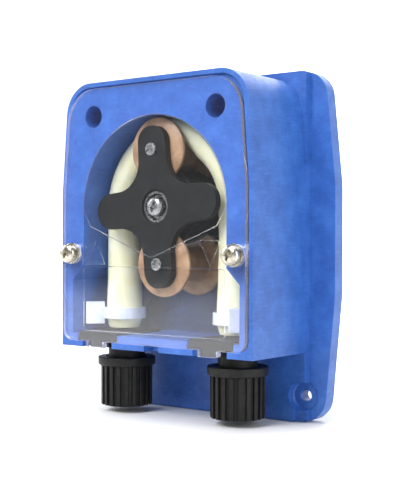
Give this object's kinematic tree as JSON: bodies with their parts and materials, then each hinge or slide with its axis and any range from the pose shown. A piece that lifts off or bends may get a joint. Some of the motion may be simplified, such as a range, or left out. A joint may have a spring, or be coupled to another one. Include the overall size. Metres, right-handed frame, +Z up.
{
  "type": "peristaltic dosing pump",
  "caption": "Panel-mounted peristaltic dosing pump: flanged rollers squeeze a bent hose behind a clear screwed cover, driven by a gearmotor behind the mounting plate.",
  "frame": {"origin": "on the back plane of the mounting plate, halfway between the two mounting holes", "axes": "+Z up, from the hose nuts to the round track; +Y from the clear cover back through the panel to the gearmotor; +X to the right seen from the cover"},
  "size_m": [0.1236, 0.1186, 0.143],
  "materials": {
    "blue_housing": "fine-grained glass-filled moulding, satin",
    "black_housing": "fine spark-eroded texture",
    "rubber": "matt",
    "cast_alloy": "as cast, bead blasted",
    "brass": "turned",
    "steel": "ground or bright zinc plated",
    "zinc_steel": "yellowish zinc plate, worn bright on the head",
    "black_plastic": "satin moulded",
    "tan_roller": "filled bearing plastic, satin",
    "cream_hose": "soft translucent thermoplastic rubber",
    "white_nylon": "translucent nylon",
    "clear_cover": "clear moulded polycarbonate, fine scratches"
  },
  "bodies": {
    "root": {"housing": "blue_housing", "motor_housing": "black_housing", "housing_gasket": "rubber", "gearbox_case": "cast_alloy", "gearbox_lid": "cast_alloy", "shaft_seal": "rubber", "front_shaft_bush": "brass", "rear_shaft_bush": "brass", "motor_can": "steel", "motor_end_cap": "black_plastic", "cable_gland_body": "black_housing", "cable_gland_nut": "black_housing", "inlet_fitting": "black_plastic", "outlet_fitting": "black_plastic", "pump_hose": "cream_hose", "long_screw_left": "steel", "rear_screw_left": "steel", "motor_terminal_left": "brass", "hose_tie_left": "white_nylon", "thread_insert_left": "brass", "long_screw_right": "steel", "rear_screw_right": "steel", "motor_terminal_right": "brass", "hose_tie_right": "white_nylon", "thread_insert_right": "brass", "gearmotor_screw_top_left": "steel", "gearmotor_screw_top_right": "steel", "gearmotor_screw_bottom_left": "steel", "gearmotor_screw_bottom_right": "steel"},
    "cover": {"clear_cover": "clear_cover"},
    "cover_washers_left": {"flat_washer_left": "zinc_steel", "spring_washer_left": "zinc_steel"},
    "cover_screw_left": {"cover_screw_left": "zinc_steel"},
    "ferrule_left": {"ferrule_left": "white_nylon"},
    "nut_left": {"compression_nut_left": "black_plastic"},
    "cover_washers_right": {"flat_washer_right": "zinc_steel", "spring_washer_right": "zinc_steel"},
    "cover_screw_right": {"cover_screw_right": "zinc_steel"},
    "ferrule_right": {"ferrule_right": "white_nylon"},
    "nut_right": {"compression_nut_right": "black_plastic"},
    "rotor": {"front_spider": "black_plastic", "rear_spider": "black_plastic", "roller_pin_top": "steel", "roller_pin_bottom": "steel", "spacer_post_left": "steel", "spacer_post_right": "steel", "front_bearing_outer_ring": "steel", "rear_bearing_outer_ring": "steel"},
    "ball_cage": {"front_bearing_ball_cage": "steel"},
    "roller_top": {"roller_top": "tan_roller"},
    "roller_bottom": {"roller_bottom": "tan_roller"},
    "drive_shaft": {"drive_shaft": "steel", "friction_wheel": "rubber", "front_bearing_inner_ring": "steel", "rear_bearing_inner_ring": "steel", "shaft_screw": "steel", "output_gear": "white_nylon"},
    "motor_shaft": {"motor_shaft": "steel", "motor_pinion": "brass"}
  },
  "joints": [
    {"name": "cover_lift", "type": "slide", "parent": "root", "child": "cover", "axis": [0, -1, 0], "range_m": [0, 0.03]},
    {"name": "cover_washers_left_travel", "type": "slide", "parent": "cover", "child": "cover_washers_left", "axis": [0, -1, 0], "range_m": [0, 0.0063]},
    {"name": "cover_screw_left_turn", "type": "hinge", "parent": "cover_washers_left", "child": "cover_screw_left", "pos_m": [-0.04255, -0.05, 0.0578], "axis": [0, -1, 0], "range_deg": [0, 3242]},
    {"name": "cover_washers_right_travel", "type": "slide", "parent": "cover", "child": "cover_washers_right", "axis": [0, -1, 0], "range_m": [0, 0.0063]},
    {"name": "cover_screw_right_turn", "type": "hinge", "parent": "cover_washers_right", "child": "cover_screw_right", "pos_m": [0.04255, -0.05, 0.0578], "axis": [0, -1, 0], "range_deg": [0, 3242]},
    {"name": "ferrule_left_travel", "type": "slide", "parent": "root", "child": "ferrule_left", "axis": [0, 0, -1], "range_m": [0, 0.0101]},
    {"name": "compression_nut_left_turn", "type": "hinge", "parent": "ferrule_left", "child": "nut_left", "pos_m": [-0.02965, -0.02785, 0], "axis": [0, 0, -1], "range_deg": [0, 1800]},
    {"name": "ferrule_right_travel", "type": "slide", "parent": "root", "child": "ferrule_right", "axis": [0, 0, -1], "range_m": [0, 0.0101]},
    {"name": "compression_nut_right_turn", "type": "hinge", "parent": "ferrule_right", "child": "nut_right", "pos_m": [0.02965, -0.02785, 0], "axis": [0, 0, -1], "range_deg": [0, 1800]},
    {"name": "rotor_spin", "type": "hinge", "parent": "root", "child": "rotor", "pos_m": [0, -0.02785, 0.0771], "axis": [0, 1, 0], "continuous": true, "deforming": ["pump_hose"]},
    {"name": "drive_shaft_spin", "type": "hinge", "parent": "root", "child": "drive_shaft", "pos_m": [0, -0.02785, 0.0771], "axis": [0, 1, 0], "continuous": true},
    {"name": "ball_cage_spin", "type": "hinge", "parent": "root", "child": "ball_cage", "pos_m": [0, -0.0401, 0.0771], "axis": [0, 1, 0], "continuous": true},
    {"name": "roller_top_spin", "type": "hinge", "parent": "rotor", "child": "roller_top", "pos_m": [-0.00164, -0.02785, 0.10054], "axis": [0, 1, 0], "continuous": true},
    {"name": "roller_bottom_spin", "type": "hinge", "parent": "rotor", "child": "roller_bottom", "pos_m": [0.00164, -0.02785, 0.05366], "axis": [0, 1, 0], "continuous": true},
    {"name": "motor_shaft_spin", "type": "hinge", "parent": "root", "child": "motor_shaft", "pos_m": [0, 0.006, 0.054], "axis": [0, 1, 0], "continuous": true}
  ],
  "couplings": [
    {"joint": "cover_screw_left_turn", "follows": "cover_washers_left_travel", "rad_per_m": 8976},
    {"joint": "cover_screw_right_turn", "follows": "cover_washers_right_travel", "rad_per_m": 8976},
    {"joint": "ferrule_left_travel", "follows": "compression_nut_left_turn", "m_per_rad": 0.00031831},
    {"joint": "ferrule_right_travel", "follows": "compression_nut_right_turn", "m_per_rad": 0.00031831},
    {"joint": "drive_shaft_spin", "follows": "rotor_spin", "ratio": 2.9375},
    {"joint": "ball_cage_spin", "follows": "rotor_spin", "ratio": 1.7486},
    {"joint": "roller_top_spin", "follows": "rotor_spin", "ratio": -4.1333},
    {"joint": "roller_bottom_spin", "follows": "rotor_spin", "ratio": -4.1333},
    {"joint": "motor_shaft_spin", "follows": "rotor_spin", "ratio": -13.219}
  ]
}
